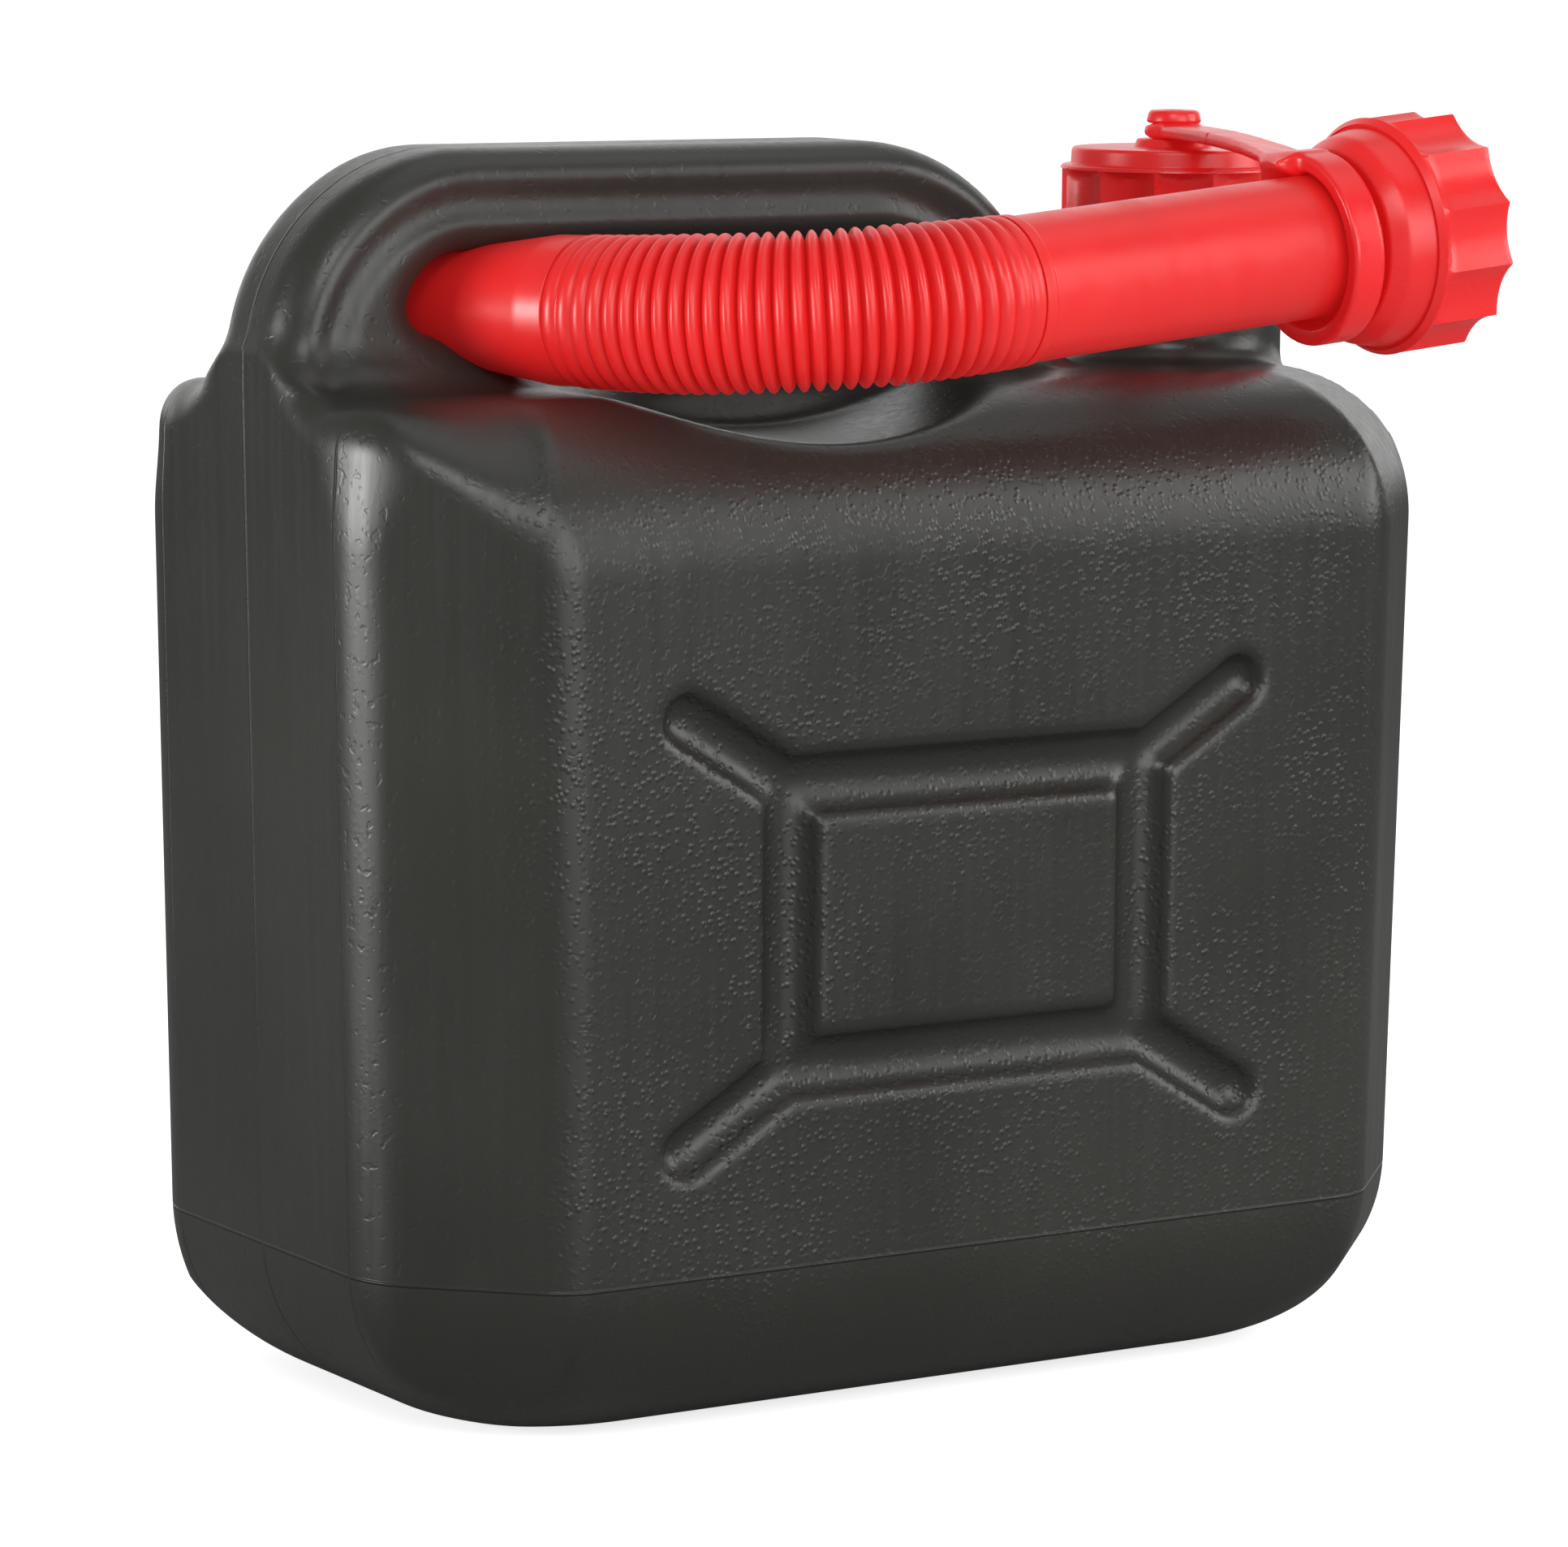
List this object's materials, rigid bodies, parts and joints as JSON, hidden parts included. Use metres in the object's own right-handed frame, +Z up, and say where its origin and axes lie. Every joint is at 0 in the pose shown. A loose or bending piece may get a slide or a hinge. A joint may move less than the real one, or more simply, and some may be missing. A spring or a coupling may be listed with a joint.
{
  "type": "jerry can",
  "caption": "Plastic fuel can with moulded handle, scalloped screw cap and a flexible pouring spout held by a strap and pushed through the handle.",
  "frame": {"origin": "on the floor under the middle of the can, on the mould parting plane", "axes": "+Z up, +X along the can towards the filler neck, +Y towards the back; the spout lies on the -Y side"},
  "size_m": [0.2602, 0.1811, 0.2642],
  "materials": {
    "can_plastic": "black blow-moulded polyethylene, satin, finely pebbled",
    "cap_plastic": "bright red injection-moulded polyethylene, satin gloss",
    "spout_plastic": "bright red soft polyethylene, satin gloss",
    "strap_plastic": "bright red soft polyethylene, satin gloss",
    "gasket": "dark fuel-proof rubber"
  },
  "bodies": {
    "can": {"can_body": "can_plastic", "spout_nozzle": "spout_plastic", "spout_bellows": "spout_plastic"},
    "strap": {"retaining_strap": "strap_plastic", "main_cap_gasket": "gasket"},
    "cap": {"main_cap": "cap_plastic"},
    "spout": {"spout_tube": "spout_plastic", "spout_gasket": "gasket"},
    "union_nut": {"spout_union_nut": "cap_plastic"}
  },
  "joints": [
    {"name": "cap_lift", "type": "slide", "parent": "can", "child": "strap", "axis": [0, 0, 1], "range_m": [0, 0.006], "deforming": ["retaining_strap"]},
    {"name": "cap_turn", "type": "hinge", "parent": "strap", "child": "cap", "pos_m": [0.0964, 0, 0.22], "axis": [0, 0, 1], "range_deg": [0, 540]},
    {"name": "spout_swing", "type": "hinge", "parent": "can", "child": "spout", "pos_m": [-0.0459, -0.071, 0.2268], "axis": [0, 0, 1], "range_deg": [-4, 8], "deforming": ["spout_bellows", "retaining_strap"]},
    {"name": "nut_turn", "type": "hinge", "parent": "spout", "child": "union_nut", "pos_m": [-0.0047, -0.084, 0.2303], "axis": [0.9954, 0, 0.0958], "continuous": true}
  ],
  "couplings": [
    {"joint": "cap_turn", "follows": "cap_lift", "rad_per_m": 1570.8}
  ]
}
